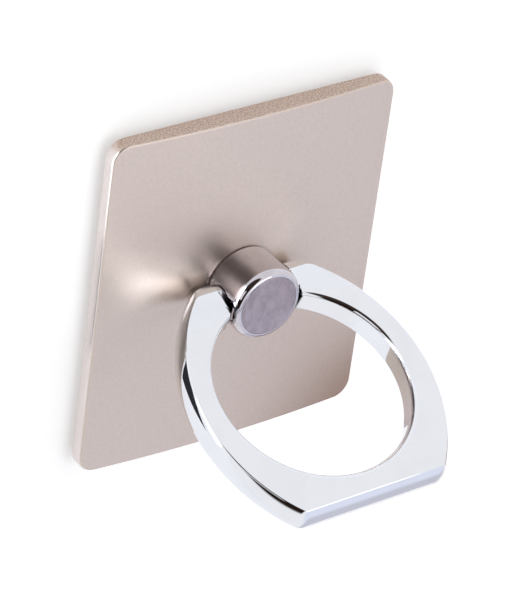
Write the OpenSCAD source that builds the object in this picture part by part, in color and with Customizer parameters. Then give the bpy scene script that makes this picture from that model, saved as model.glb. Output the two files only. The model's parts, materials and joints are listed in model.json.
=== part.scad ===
// Stick-on phone ring holder: a crowned plate with an adhesive back, a post that
// turns on it, and a D-shaped finger ring that folds about two pins in the post.
// Millimetres. The origin is the centre of the pad's outer face, on the swivel axis.
// +Z runs out of the plate along the post, +Y towards the plate's top edge.

/* [Plate] */
// Width of the plate, across the ring's hinge line
plate_w = 35; // [32:0.5:45]
// Height of the plate
plate_h = 40.4; // [36:0.1:60]
// Radius of the plate's corners
plate_corner_r = 2; // [1.5:0.1:6]
// Thickness of the plate at its left and right edges
plate_edge_t = 1.5; // [1.4:0.1:2.2]
// Rise of the crown over the width, from the edges to the middle
plate_crown = 0.76; // [0.5:0.02:1.2]

/* [Adhesive pad] */
// Thickness of the foam pad
pad_t = 0.8; // [0.4:0.1:1.6]
// Distance from the pad's edge to the plate's edge
pad_inset = 1; // [0.5:0.1:3]
// Radius of the pad's corners
pad_corner_r = 1; // [0.3:0.1:5]

/* [Post] */
// Diameter of the post
post_d = 8.4; // [8:0.1:10]
// Height of the post, from its foot to its end face
post_h = 5.15; // [4.9:0.05:7]
// Rounding of the post's outer edge
post_edge_r = 0.45; // [0.2:0.05:0.6]
// Chamfer round the post's foot
post_foot_chamfer = 0.15; // [0.05:0.05:0.3]
// Distance between the two side flats
post_flats = 7.9; // [7.6:0.1:8.3]
// Height of the hinge line over the post's foot
hinge_rise = 1.56; // [1.54:0.01:1.8]

/* [End cap] */
// Diameter of the cap
cap_d = 6.8; // [5:0.1:7]
// Thickness of the cap
cap_t = 0.5; // [0.3:0.05:0.8]
// How far the cap stands out of the post
cap_proud = 0.06; // [0.02:0.01:0.2]
// Chamfer round the cap's face
cap_edge = 0.1; // [0.05:0.01:0.2]

/* [Swivel] */
// Diameter of the post's neck in the bush
neck_d = 4; // [3.6:0.1:4.6]
// Wall of the bush's sleeve
bush_wall = 0.45; // [0.3:0.05:0.7]
// Diameter of the bush's flange
bush_flange_d = 7.4; // [6.4:0.1:7.6]
// Thickness of the bush's flange
bush_flange_t = 0.3; // [0.2:0.05:0.4]
// How far the flange is sunk into the plate's front
bush_sink = 0.2; // [0.1:0.05:0.3]
// Thickness of the plate's web that the bush sits in
web_t = 0.6; // [0.5:0.05:0.7]
// Diameter of the recess in the plate's back
recess_d = 10.4; // [9.6:0.1:14]
// Diameter of the thrust washer
thrust_d = 8; // [7:0.1:9]
// Thickness of the thrust washer
thrust_t = 0.2; // [0.15:0.05:0.25]
// Diameter of the disc spring
spring_d = 7.6; // [6.6:0.1:8.8]
// Thickness of the disc spring's sheet
spring_t = 0.15; // [0.1:0.01:0.2]
// Dish of the disc spring, from its inner rim to its outer rim
spring_dish = 0.2; // [0.1:0.01:0.3]
// Diameter of the screw's head
screw_head_d = 7; // [6:0.1:8.4]
// Thickness of the screw's head
screw_head_t = 0.45; // [0.4:0.05:0.5]
// Diameter of the screw's shank
screw_d = 2.5; // [2:0.1:2.6]
// Length of the screw's shank
screw_len = 4.6; // [3.5:0.1:5]
// Free depth of the screw's hole past its tip
screw_tip_gap = 0.3; // [0.1:0.1:0.5]
// Width of the screw's slot
slot_w = 0.8; // [0.5:0.1:1]
// Depth of the screw's slot
slot_depth = 0.25; // [0.15:0.05:0.3]
// Thickness of the cover disc behind the recess
cover_t = 0.2; // [0.1:0.05:0.25]

/* [Ring] */
// Radius of the finger hole
hole_r = 11.2; // [9:0.1:13]
// Width of the band between the hinge line and the finger hole
hinge_band = 1.8; // [1.7:0.05:2.4]
// Width of the band between the finger hole and the ring's sides
side_band = 2.3; // [1.8:0.05:4]
// Width of the band between the finger hole and the ring's flat end
end_band = 2.9; // [2:0.1:5]
// Thickness of the ring
ring_t = 3; // [2.6:0.1:3]
// Distance of each side arc's centre from the middle, on the far side
side_shift = 5.05; // [3:0.05:6.5]
// Distance of the ring's widest place past the finger hole's centre
side_ahead = 0.8; // [0:0.05:1.5]
// How far the sides bulge past the front face's rim
side_bulge = 0.5; // [0.3:0.05:0.8]
// Distance of the widest line of the sides behind the ring's middle plane
side_low = 0.4; // [0.2:0.05:0.6]
// Rounding of the flat end's edges
end_round = 1.25; // [0.8:0.05:1.29]
// Rounding of the two corners between the sides and the flat end
corner_r = 1.6; // [0.8:0.1:3]
// Bevel round the finger hole's edges
hole_bevel = 0.3; // [0.1:0.05:0.5]
// Angle at which the ring stands open from the plate
ring_open = 65.8; // [0:0.1:180]
// Angle of the ring's hinge line to the plate's width
ring_swivel = 1.2; // [-180:0.1:180]

/* [Hinge] */
// Diameter of the hinge pins
pin_d = 1.5; // [1.2:0.05:1.6]
// Length of pin inside each ring end
pin_in_ring = 2.6; // [2:0.1:3]
// Free depth of the ring's pin bores past the pins
pin_tip_gap = 0.1; // [0.05:0.05:0.3]
// Length of pin inside each bush
pin_in_post = 1.9; // [1.4:0.05:2]
// Wall of the friction bushes
sleeve_wall = 0.4; // [0.3:0.05:0.5]
// Depth of the bush bores in the post
sleeve_depth = 2.15; // [2.1:0.05:2.3]
// Diameter of the hinge washers
hinge_washer_d = 2.8; // [2.6:0.1:2.9]
// Thickness of the hinge washers
washer_t = 0.45; // [0.3:0.05:0.8]
// Gap between each hinge washer and its ring end
washer_gap = 0.1; // [0.05:0.01:0.2]

/* [Fits] */
// Radial clearance of turning parts
run_clear = 0.03; // [0.02:0.01:0.08]
// Radial clearance of seated parts
seat_clear = 0.02; // [0.01:0.01:0.05]
// Radial clearance of the pins that are pressed into the ring
press_clear = 0.01; // [0.01:0.01:0.02]

/* [Hidden] */
$fn = 96;
smooth_fn = 360;
crown_fn = 1440;
// How far a cut runs past the face that it opens
cut = 1;
eps = 0.01;
// Heights along the swivel axis, from the pad outwards
plate_back = pad_t;
crown_top = plate_back + plate_edge_t + plate_crown;
crown_r = (pow(plate_w / 2, 2) + pow(plate_crown, 2)) / (2 * plate_crown);
sink_floor = crown_top - bush_sink;
web_back = sink_floor - web_t;
post_foot = sink_floor + bush_flange_t;
post_end = post_foot + post_h;
hinge_z = post_foot + hinge_rise;
spring_top = web_back - thrust_t;
spring_h = spring_t + spring_dish;
screw_seat = spring_top - spring_h;
// Radii on the swivel axis
neck_r = neck_d / 2;
bush_in_r = neck_r + run_clear;
bush_out_r = bush_in_r + bush_wall;
web_r = bush_out_r + seat_clear;
sink_r = bush_flange_d / 2 + seat_clear;
screw_hole_r = screw_d / 2 + seat_clear;
screw_hole_h = screw_len + screw_tip_gap;
cap_pocket = cap_t - cap_proud;
// The hinge line
pin_r = pin_d / 2;
sleeve_in_r = pin_r + run_clear;
sleeve_out_r = sleeve_in_r + sleeve_wall;
sleeve_bore_r = sleeve_out_r + seat_clear;
flat_x = post_flats / 2;
ring_end_x = flat_x + washer_t + washer_gap;
washer_in_r = pin_r + run_clear;
pin_bore_h = pin_in_ring + pin_tip_gap;
// The ring's outline, from its hinge line
hole_reach = hinge_band + hole_r;
ring_reach = hole_reach + hole_r + end_band;
side_reach = hole_reach + side_ahead;
side_r = hole_r + side_band + side_shift;
wide_r = side_r + side_bulge;
// How far the rounding of the corners stands off the sides and the flat end
corner_over = 0.03;
// The ring's section
half_t = ring_t / 2;
bulge_w = half_t + side_low;
bulge_r = (pow(side_bulge, 2) + pow(bulge_w, 2)) / (2 * side_bulge);

// Outline of a rectangle with round corners, centred
module rounded_outline(w, h, r) {
    square([w - 2 * r, h], center = true);
    square([w, h - 2 * r], center = true);
    for (x = [-1, 1], y = [-1, 1])
        translate([x * (w / 2 - r), y * (h / 2 - r)])
            circle(r = r);
}

// Flat ring from z = 0 upwards
module washer(outer_r, inner_r, t) {
    difference() {
        cylinder(h = t, r = outer_r);
        translate([0, 0, -eps])
            cylinder(h = t + 2 * eps, r = inner_r);
    }
}

// Places a piece that stands on the post's hinge line, with its axis along +X or -X
module on_hinge_line(side) {
    rotate([0, 0, ring_swivel])
        translate([0, 0, hinge_z])
            rotate([0, side * 90, 0])
                children();
}

// Crowned plate with the recess for the swivel parts behind its web
module plate() {
    color([0.80, 0.75, 0.72])
    difference() {
        intersection() {
            translate([0, 0, plate_back])
                linear_extrude(plate_edge_t + plate_crown + cut)
                    rounded_outline(plate_w, plate_h, plate_corner_r);
            translate([0, 0, crown_top - crown_r])
                rotate([90, 0, 0])
                    cylinder(h = plate_h + 2 * cut, r = crown_r, center = true, $fn = crown_fn);
        }
        translate([0, 0, plate_back - cut])
            cylinder(h = web_back - plate_back + cut, r = recess_d / 2);
        translate([0, 0, web_back - cut])
            cylinder(h = web_t + 2 * cut, r = web_r);
        translate([0, 0, sink_floor])
            cylinder(h = bush_sink + cut, r = sink_r);
    }
}

// Foam tape pad, stuck all over the plate's back
module adhesive_pad() {
    color([0.25, 0.25, 0.27])
    linear_extrude(pad_t)
        rounded_outline(plate_w - 2 * pad_inset, plate_h - 2 * pad_inset, pad_corner_r);
}

// Flanged bush: its flange lies under the post's foot
module swivel_bush() {
    color([0.92, 0.92, 0.90])
    rotate_extrude()
        polygon([[bush_in_r, web_back], [bush_out_r, web_back], [bush_out_r, sink_floor],
                 [bush_flange_d / 2, sink_floor], [bush_flange_d / 2, post_foot],
                 [bush_in_r, post_foot]]);
}

module thrust_washer() {
    color([0.70, 0.70, 0.72])
    translate([0, 0, spring_top])
        washer(thrust_d / 2, bush_in_r, thrust_t);
}

// Dished washer: its outer rim bears on the thrust washer, its inner rim on the screw
module disc_spring() {
    color([0.60, 0.60, 0.62])
    rotate_extrude()
        polygon([[bush_in_r, screw_seat], [bush_in_r, screw_seat + spring_t],
                 [spring_d / 2, spring_top], [spring_d / 2, spring_top - spring_t]]);
}

// Wide-headed screw, driven up into the post from behind
module clamp_screw() {
    color([0.65, 0.65, 0.67])
    difference() {
        union() {
            translate([0, 0, screw_seat - screw_head_t])
                cylinder(h = screw_head_t, r = screw_head_d / 2);
            translate([0, 0, screw_seat - eps])
                cylinder(h = screw_len + eps, r = screw_d / 2);
        }
        translate([0, 0, screw_seat - screw_head_t])
            cube([screw_head_d + 2 * cut, slot_w, 2 * slot_depth], center = true);
    }
}

// Thin disc pressed into the mouth of the recess
module back_cover() {
    color([0.75, 0.75, 0.77])
    translate([0, 0, plate_back])
        cylinder(h = cover_t, r = recess_d / 2 - seat_clear);
}

// Section of the post, from its axis outwards
module post_section() {
    r = post_d / 2;
    square([neck_r, post_foot - screw_seat]);
    translate([0, post_foot - screw_seat]) {
        polygon([[0, 0], [r - post_foot_chamfer, 0], [r, post_foot_chamfer],
                 [r, post_h - post_edge_r], [r - post_edge_r, post_h - post_edge_r],
                 [r - post_edge_r, post_h], [0, post_h]]);
        intersection() {
            translate([r - post_edge_r, post_h - post_edge_r])
                circle(r = post_edge_r);
            square([r, post_h]);
        }
    }
}

// Post with its neck, cap pocket, screw hole, side flats and cross bores
module post() {
    color([0.45, 0.40, 0.39])
    difference() {
        intersection() {
            translate([0, 0, screw_seat])
                rotate_extrude()
                    post_section();
            rotate([0, 0, ring_swivel])
                translate([-flat_x, -post_d, 0])
                    cube([post_flats, 2 * post_d, post_end + cut]);
        }
        translate([0, 0, post_end - cap_pocket])
            cylinder(h = cap_pocket + cut, r = cap_d / 2 + seat_clear);
        translate([0, 0, screw_seat - cut])
            cylinder(h = screw_hole_h + cut, r = screw_hole_r);
        for (side = [-1, 1])
            on_hinge_line(side)
                translate([0, 0, flat_x - sleeve_depth])
                    cylinder(h = sleeve_depth + cut, r = sleeve_bore_r);
    }
}

// Disc set into the end of the post
module end_cap() {
    color([0.62, 0.58, 0.64])
    translate([0, 0, post_end - cap_pocket])
        rotate_extrude()
            polygon([[0, 0], [cap_d / 2, 0], [cap_d / 2, cap_t - cap_edge],
                     [cap_d / 2 - cap_edge, cap_t], [0, cap_t]]);
}

// Friction sleeve in one of the post's cross bores
module hinge_bush(side) {
    color([0.92, 0.92, 0.90])
    on_hinge_line(side)
        translate([0, 0, flat_x - sleeve_depth])
            washer(sleeve_out_r, sleeve_in_r, sleeve_depth);
}

// Bright disc between the post's flat and the ring's end
module hinge_washer(side) {
    color([0.82, 0.82, 0.84])
    on_hinge_line(side)
        translate([0, 0, flat_x])
            washer(hinge_washer_d / 2, washer_in_r, washer_t);
}

// Pin pressed into one ring end, its free end in the post's bush
module hinge_pin(side) {
    color([0.70, 0.70, 0.72])
    on_hinge_line(side)
        translate([0, 0, flat_x - pin_in_post])
            cylinder(h = pin_in_post + ring_end_x - flat_x + pin_in_ring, r = pin_r);
}

// Half of one side's round disc, seen in section: the rim bulges past its front edge
module side_section() {
    intersection() {
        translate([0, -half_t])
            square([wide_r, ring_t]);
        union() {
            translate([0, -half_t])
                square([wide_r - bulge_r, ring_t]);
            translate([wide_r - bulge_r, -side_low])
                circle(r = bulge_r, $fn = smooth_fn);
        }
    }
}

// Round disc whose far rim is one side of the ring
module side_disc(side) {
    translate([side * side_shift, side_reach, 0])
        rotate_extrude($fn = smooth_fn)
            side_section();
}

// Solid that rounds the corner between one side and the flat end
module corner_cutter(side) {
    outer_r = wide_r + corner_over;
    end = ring_reach + corner_over;
    y = end - corner_r;
    x = sqrt(pow(outer_r - corner_r, 2) - pow(y - side_reach, 2)) - side_shift;
    stretch = outer_r / (outer_r - corner_r);
    touch_x = (x + side_shift) * stretch - side_shift;
    touch_y = (y - side_reach) * stretch + side_reach;
    mirror([side < 0 ? 1 : 0, 0, 0])
        linear_extrude(ring_t + 2 * cut, center = true)
            difference() {
                polygon([[x, y], [touch_x, touch_y], [outer_r, touch_y], [outer_r, end + cut],
                         [x, end + cut]]);
                translate([x, y])
                    circle(r = corner_r);
            }
}

// Section of the ring along its length: a round hinge end and a rounded flat end
module length_section() {
    reach = ring_reach - end_round;
    circle(r = half_t);
    translate([0, -half_t])
        square([reach, ring_t]);
    translate([reach, -half_t + end_round])
        square([end_round, ring_t - 2 * end_round]);
    for (z = [-1, 1])
        translate([reach, z * (half_t - end_round)])
            circle(r = end_round);
}

// Solid that cuts the finger hole, with bevelled mouths
module hole_cutter() {
    mouth = hole_r + hole_bevel + eps;
    rotate_extrude()
        polygon([[0, -half_t - eps], [mouth, -half_t - eps],
                 [hole_r, -half_t + hole_bevel], [hole_r, half_t - hole_bevel],
                 [mouth, half_t + eps], [0, half_t + eps]]);
}

// Ring lying in its own plane: X along the hinge line, Y out to the flat end
module flat_ring() {
    difference() {
        intersection() {
            rotate([90, 0, 90])
                linear_extrude(2 * wide_r, center = true)
                    length_section();
            side_disc(-1);
            side_disc(1);
        }
        translate([0, hole_reach, 0])
            hole_cutter();
        translate([-ring_end_x, -ring_t, -ring_t])
            cube([2 * ring_end_x, ring_t + hole_reach, 2 * ring_t]);
        for (side = [-1, 1])
            corner_cutter(side);
        for (side = [-1, 1])
            rotate([0, side * 90, 0])
                translate([0, 0, ring_end_x - cut])
                    cylinder(h = pin_bore_h + cut, r = pin_r + press_clear);
    }
}

// Ring on its hinge line, open at its angle
module ring() {
    color([0.88, 0.89, 0.92])
    rotate([0, 0, ring_swivel])
        translate([0, 0, hinge_z])
            rotate([-ring_open, 0, 0])
                rotate([0, 0, 180])
                    flat_ring();
}

plate();
adhesive_pad();
swivel_bush();
thrust_washer();
disc_spring();
clamp_screw();
back_cover();
post();
end_cap();
hinge_bush(-1);  // hinge_bush_left
hinge_bush(1);  // hinge_bush_right
hinge_washer(-1);  // hinge_washer_left
hinge_washer(1);  // hinge_washer_right
hinge_pin(-1);  // hinge_pin_left
hinge_pin(1);  // hinge_pin_right
ring();
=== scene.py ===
"""Looks of a stick-on phone ring holder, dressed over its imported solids.

The plate, foam pad, post, end disc and finger ring are modelled again here with their
fine edges and rounded corners. The small fastening and hinge pieces keep their solids
and only get finishes. All lengths are in metres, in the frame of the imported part.
"""

import json
import logging
import math
from collections.abc import Callable, Sequence
from dataclasses import dataclass, field
from enum import Enum

import bmesh
import bpy
import numpy as np
from mathutils import Matrix, Vector


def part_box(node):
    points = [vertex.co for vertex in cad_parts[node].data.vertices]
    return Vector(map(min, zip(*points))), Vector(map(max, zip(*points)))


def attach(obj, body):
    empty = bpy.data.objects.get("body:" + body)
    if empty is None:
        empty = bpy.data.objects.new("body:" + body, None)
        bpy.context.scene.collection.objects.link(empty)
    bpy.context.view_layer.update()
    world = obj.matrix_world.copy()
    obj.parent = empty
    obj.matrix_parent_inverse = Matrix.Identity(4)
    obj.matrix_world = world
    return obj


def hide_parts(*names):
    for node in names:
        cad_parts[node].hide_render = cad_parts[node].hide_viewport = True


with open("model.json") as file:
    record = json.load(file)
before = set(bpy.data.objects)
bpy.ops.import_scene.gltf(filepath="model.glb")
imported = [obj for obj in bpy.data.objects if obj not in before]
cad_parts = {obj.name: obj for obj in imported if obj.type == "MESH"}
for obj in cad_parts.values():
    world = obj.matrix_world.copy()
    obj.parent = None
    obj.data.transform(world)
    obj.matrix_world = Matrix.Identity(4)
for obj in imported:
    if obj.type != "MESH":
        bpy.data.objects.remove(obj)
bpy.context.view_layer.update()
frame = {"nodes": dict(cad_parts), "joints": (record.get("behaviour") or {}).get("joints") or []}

LOG = logging.getLogger("ring_holder")
MM = 0.001
PER_MM = 1 / MM
NEAR = 0.01 * MM
VERY_NEAR = 0.001 * MM
MIX_COLOUR_INPUTS = (0, 6, 7)
MIX_COLOUR_OUTPUT = 2
HALVINGS = 40
Colour = tuple[float, float, float]
Piece = bpy.types.Object
Material = bpy.types.Material
Tree = bpy.types.NodeTree
Node = bpy.types.Node
Socket = bpy.types.NodeSocket
Values = np.ndarray


class Place(Enum):
    """Bodies that the pieces ride on."""

    BASE = "base"
    POST = "swivel_post"
    RING = "finger_ring"


class Slot(Enum):
    """Material slots of the part's record."""

    PAINT = "satin_paint"
    FOAM = "foam_tape"
    PLASTIC = "bearing_plastic"
    STEEL = "plain_steel"
    NICKEL = "dark_nickel"
    DISC = "brushed_cap"
    BRIGHT = "bright_steel"
    CHROME = "ring_chrome"


# Modelling helpers


def deselect_all() -> None:
    """Leave edit mode and deselect every object."""
    if bpy.context.object and bpy.context.object.mode != "OBJECT":
        bpy.ops.object.mode_set(mode="OBJECT")
    bpy.ops.object.select_all(action="DESELECT")


def activate(piece: Piece) -> None:
    """Select one object alone and make it the active one.

    Args:
        piece: The object.
    """
    deselect_all()
    piece.select_set(True)
    bpy.context.view_layer.objects.active = piece


def start_editing(piece: Piece) -> None:
    """Enter edit mode on a piece with nothing selected in its mesh.

    Args:
        piece: The object.
    """
    activate(piece)
    bpy.ops.object.mode_set(mode="EDIT")
    bpy.ops.mesh.select_mode(type="VERT")
    bpy.ops.mesh.select_all(action="DESELECT")


def stop_editing() -> None:
    """Return to object mode."""
    bpy.ops.object.mode_set(mode="OBJECT")


def pick(piece: Piece, kind: str, test: Callable[[object], bool]) -> None:
    """Select the edges or faces that pass a test, in edit mode.

    Args:
        piece: The object in edit mode.
        kind: EDGE or FACE.
        test: Takes an edge or a face and says whether it is wanted.
    """
    bpy.ops.mesh.select_mode(type=kind)
    bpy.ops.mesh.select_all(action="DESELECT")
    mesh = bmesh.from_edit_mesh(piece.data)
    mesh.normal_update()
    found = [part for part in (mesh.edges if kind == "EDGE" else mesh.faces) if test(part)]
    for part in found:
        part.select_set(True)
    bmesh.update_edit_mesh(piece.data)


def pick_edges(piece: Piece, test: Callable[[Vector, Vector], bool]) -> None:
    """Select the edges whose two end points pass a test."""
    pick(piece, "EDGE", lambda edge: test(edge.verts[0].co, edge.verts[1].co))


def pick_faces(piece: Piece, test: Callable[[Vector, Vector], bool]) -> None:
    """Select the faces whose centre and normal pass a test."""
    pick(piece, "FACE", lambda face: test(face.calc_center_median(), face.normal))


def cut_all(place: Sequence[float], facing: Sequence[float], **settings: bool) -> None:
    """Cut the whole mesh along a plane, in edit mode."""
    bpy.ops.mesh.select_all(action="SELECT")
    bpy.ops.mesh.bisect(plane_co=place, plane_no=facing, **settings)


def round_edges(offset: float, steps: int) -> None:
    """Bevel the selected edges to a round of a number of steps."""
    bpy.ops.mesh.bevel(offset=offset, segments=steps, affect="EDGES")


def settle(piece: Piece, name: str) -> Piece:
    """Name a piece and put its place into its mesh, with the object at the origin.

    Args:
        piece: The object.
        name: Its name in the scene.

    Returns:
        The same object.
    """
    activate(piece)
    bpy.ops.object.transform_apply(location=True, rotation=True, scale=True)
    piece.name = name
    piece.data.name = name
    return piece


def block(size: Sequence[float], centre: Sequence[float], name: str) -> Piece:
    """Add a block with its own size and place.

    Args:
        size: Lengths along X, Y and Z.
        centre: Middle of the block.
        name: Name of the object.

    Returns:
        The block.
    """
    deselect_all()
    bpy.ops.mesh.primitive_cube_add(size=1, location=centre)
    made = bpy.context.object
    made.scale = size
    return settle(made, name)


def rod(radius: float, low: float, high: float, name: str, sides: int = 192) -> Piece:
    """Add a round bar along the Z axis.

    Args:
        radius: Radius of the bar.
        low: Height of its lower end.
        high: Height of its upper end.
        name: Name of the object.
        sides: Number of sides.

    Returns:
        The bar.
    """
    deselect_all()
    bpy.ops.mesh.primitive_cylinder_add(
        vertices=sides, radius=radius, depth=high - low, location=(0, 0, (low + high) / 2)
    )
    return settle(bpy.context.object, name)


def carve(piece: Piece, cutter: Piece) -> None:
    """Cut one solid out of another and delete the cutter.

    Args:
        piece: The solid that is cut.
        cutter: The solid that is taken away.
    """
    activate(piece)
    cut = piece.modifiers.new("cut", "BOOLEAN")
    cut.operation = "DIFFERENCE"
    cut.solver = "EXACT"
    cut.object = cutter
    bpy.ops.object.modifier_apply(modifier=cut.name)
    bpy.data.objects.remove(cutter)


def shade(piece: Piece, angle_deg: float) -> None:
    """Shade a piece smooth up to an angle, with its wide faces kept flat.

    Args:
        piece: The object.
        angle_deg: Edges sharper than this stay sharp.
    """
    activate(piece)
    bpy.ops.object.shade_smooth_by_angle(angle=math.radians(angle_deg))
    weigh = piece.modifiers.new("weigh", "WEIGHTED_NORMAL")
    weigh.keep_sharp = True
    weigh.weight = 100
    bpy.ops.object.modifier_apply(modifier=weigh.name)


def dress(piece: Piece, material: Material) -> None:
    """Give a piece one material on all its faces.

    Args:
        piece: The object.
        material: Its finish.
    """
    if not piece.data.materials:
        piece.data.materials.append(material)
    for slot in piece.material_slots:
        slot.material = material


# Shader helpers


@dataclass
class Graph:
    """Small writer for a node tree."""

    tree: Tree

    def add(self, kind: str, **settings: object) -> Node:
        """Add a node and set its properties.

        Args:
            kind: The node's type name.
            **settings: Properties of the node by name.

        Returns:
            The node.
        """
        node = self.tree.nodes.new(kind)
        for name, value in settings.items():
            setattr(node, name, value)
        return node

    def link(self, source: Socket, target: Socket) -> None:
        """Join an output to an input."""
        self.tree.links.new(source, target)

    def put(self, target: Socket, value: object) -> None:
        """Link an input to a socket, or give it a constant.

        Args:
            target: The input.
            value: A socket or a constant.
        """
        if isinstance(value, Socket):
            self.link(value, target)
        else:
            target.default_value = value

    def feed(self, node: Node, **values: object) -> Node:
        """Set or link inputs of a node.

        Args:
            node: The node.
            **values: Sockets or constants by input name, with _ for each space.

        Returns:
            The same node.
        """
        for name, value in values.items():
            self.put(node.inputs[name.replace("_", " ")], value)
        return node

    def math(self, how: str, first: object, second: object = 0.0) -> Socket:
        """Add a Math node.

        Args:
            how: The operation.
            first: First value, a socket or a number.
            second: Second value, a socket or a number.

        Returns:
            The result's socket.
        """
        node = self.add("ShaderNodeMath", operation=how)
        for target, value in zip(node.inputs, (first, second)):
            self.put(target, value)
        return node.outputs[0]

    def ramp(self, value: Socket, low: float, high: float,
             to_low: float = 0.0, to_high: float = 1.0) -> Socket:
        """Map a value smoothly from one range to another.

        Args:
            value: The value's socket.
            low: Value that gives to_low.
            high: Value that gives to_high.
            to_low: Result at the low end.
            to_high: Result at the high end.

        Returns:
            The result's socket.
        """
        node = self.add("ShaderNodeMapRange", interpolation_type="SMOOTHSTEP")
        self.feed(node, Value=value, From_Min=low, From_Max=high, To_Min=to_low, To_Max=to_high)
        return node.outputs["Result"]

    def blend(self, share: object, first: object, second: object) -> Socket:
        """Mix two colours.

        Args:
            share: How much of the second colour, a socket or a number.
            first: First colour, a socket or a colour.
            second: Second colour, a socket or a colour.

        Returns:
            The mixed colour's socket.
        """
        node = self.add("ShaderNodeMix", data_type="RGBA")
        for index, value in zip(MIX_COLOUR_INPUTS, (share, first, second)):
            self.put(node.inputs[index], (*value, 1) if isinstance(value, tuple) else value)
        return node.outputs[MIX_COLOUR_OUTPUT]

    def noise(self, vector: Socket, per_mm: object, **settings: float) -> Socket:
        """Add a noise texture.

        Args:
            vector: Coordinates in millimetres.
            per_mm: Cells to the millimetre, a socket or a number.
            **settings: Other inputs of the node, such as Detail.

        Returns:
            The noise value's socket.
        """
        node = self.add("ShaderNodeTexNoise")
        return self.feed(node, Vector=vector, Scale=per_mm, **settings).outputs["Fac"]


def node_material(name: str) -> tuple[Material, Graph]:
    """Start a material.

    Args:
        name: Name of the material.

    Returns:
        The material and a writer for its tree.
    """
    material = bpy.data.materials.new(name)
    material.use_nodes = True
    return material, Graph(material.node_tree)


def new_group(name: str, scales: dict[str, float],
              outputs: Sequence[str]) -> tuple[Graph, Node, Node]:
    """Start a shader node group with a Vector input and further number sockets.

    Args:
        name: Name of the group.
        scales: Default value of each number input, by name.
        outputs: Names of the number outputs.

    Returns:
        A writer for the group, its input node and its output node.
    """
    group = bpy.data.node_groups.new(name, "ShaderNodeTree")
    sockets = group.interface
    sockets.new_socket("Vector", in_out="INPUT", socket_type="NodeSocketVector")
    for label, value in scales.items():
        made = sockets.new_socket(label, in_out="INPUT", socket_type="NodeSocketFloat")
        made.default_value = value
    for label in outputs:
        sockets.new_socket(label, in_out="OUTPUT", socket_type="NodeSocketFloat")
    graph = Graph(group)
    return graph, graph.add("NodeGroupInput"), graph.add("NodeGroupOutput")


class SharedEffects:
    """Node groups that several finishes use, each built once."""

    def __init__(self) -> None:
        """Build all groups."""
        self.grain = self._grain()
        self.wear = self._wear()
        self.streaks = self._streaks()

    @staticmethod
    def _grain() -> Tree:
        """Fine speckle with soft clouds, for paint, foam and moulded plastic.

        Returns:
            The group.
        """
        graph, given, out = new_group(
            "speckled_grain", {"Speckle": 6.0, "Cloud": 0.15}, ("Speckle", "Cloud"))
        where = given.outputs["Vector"]
        fine = graph.noise(where, given.outputs["Speckle"], Detail=3.0, Roughness=0.65)
        graph.feed(out, Speckle=fine, Cloud=graph.noise(where, given.outputs["Cloud"]))
        return graph.tree

    @staticmethod
    def _wear() -> Tree:
        """Handling marks: faint smudges and hairline scratches.

        Returns:
            The group.
        """
        graph, given, out = new_group(
            "handling_marks", {"Smudge": 0.25, "Scratch": 1.2}, ("Smudge", "Scratch"))
        where = given.outputs["Vector"]
        smudge = graph.noise(where, given.outputs["Smudge"], Detail=4.0, Distortion=0.6)
        stretch = graph.add("ShaderNodeMapping", vector_type="POINT")
        graph.feed(stretch, Vector=where, Rotation=(0.3, 0.2, 0.7), Scale=(0.12, 3.0, 0.4))
        hair = graph.noise(stretch.outputs["Vector"], given.outputs["Scratch"], Distortion=1.5)
        graph.feed(out, Smudge=smudge, Scratch=graph.ramp(hair, 0.62, 0.72))
        return graph.tree

    @staticmethod
    def _streaks() -> Tree:
        """Brushed lines along Y.

        Returns:
            The group.
        """
        graph, given, out = new_group(
            "brushed_streaks", {"Lines": 5.0, "Length": 0.05}, ("Streak",))
        parts = graph.add("ShaderNodeSeparateXYZ")
        graph.feed(parts, Vector=given.outputs["Vector"])
        joined = graph.add("ShaderNodeCombineXYZ")
        graph.feed(joined, Z=parts.outputs["Z"],
                   X=graph.math("MULTIPLY", parts.outputs["X"], given.outputs["Lines"]),
                   Y=graph.math("MULTIPLY", parts.outputs["Y"], given.outputs["Length"]))
        lines = graph.noise(joined.outputs[0], 1.0, Detail=4.0, Roughness=0.6)
        graph.feed(out, Streak=lines)
        return graph.tree


def tinted(colour: Colour, factor: float) -> Colour:
    """Make a colour darker or lighter by a factor."""
    return tuple(part * factor for part in colour)


@dataclass
class Coat:
    """A material in the making, with the shared groups at hand."""

    graph: Graph
    effects: SharedEffects
    shader: Node = field(init=False)
    where: Socket = field(init=False)

    def __post_init__(self) -> None:
        """Find the shader and lay out the object's coordinates in millimetres."""
        self.shader = self.graph.tree.nodes["Principled BSDF"]
        place = self.graph.add("ShaderNodeTexCoord")
        scale = self.graph.add("ShaderNodeMapping", vector_type="POINT")
        self.graph.feed(scale, Vector=place.outputs["Object"], Scale=(PER_MM, PER_MM, PER_MM))
        self.where = scale.outputs["Vector"]

    def placed(self, group: Tree, **values: object) -> Node:
        """Put a shared group into the material.

        Args:
            group: The shared group.
            **values: Inputs of the group. Vector is the plain coordinates if not given.

        Returns:
            The group's node.
        """
        values.setdefault("Vector", self.where)
        return self.graph.feed(self.graph.add("ShaderNodeGroup", node_tree=group), **values)

    def bump(self, height: Socket, depth: float, strength: float) -> None:
        """Roughen the shader's normal.

        Args:
            height: The height's socket, 0 to 1.
            depth: Height of the relief in metres.
            strength: Share of the relief that shows.
        """
        node = self.graph.add("ShaderNodeBump")
        self.graph.feed(node, Height=height, Distance=depth, Strength=strength)
        self.graph.feed(self.shader, Normal=node.outputs["Normal"])


# Finishes


@dataclass(frozen=True)
class Finish:
    """What every finish shares: a named material that is painted from a recipe."""

    name: str

    def build(self, effects: SharedEffects) -> Material:
        """Make the material.

        Args:
            effects: The shared node groups.

        Returns:
            The material.
        """
        material, graph = node_material(self.name)
        self.paint(Coat(graph, effects))
        return material

    def paint(self, coat: Coat) -> None:
        """Lay out the finish's nodes."""
        raise NotImplementedError


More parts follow.
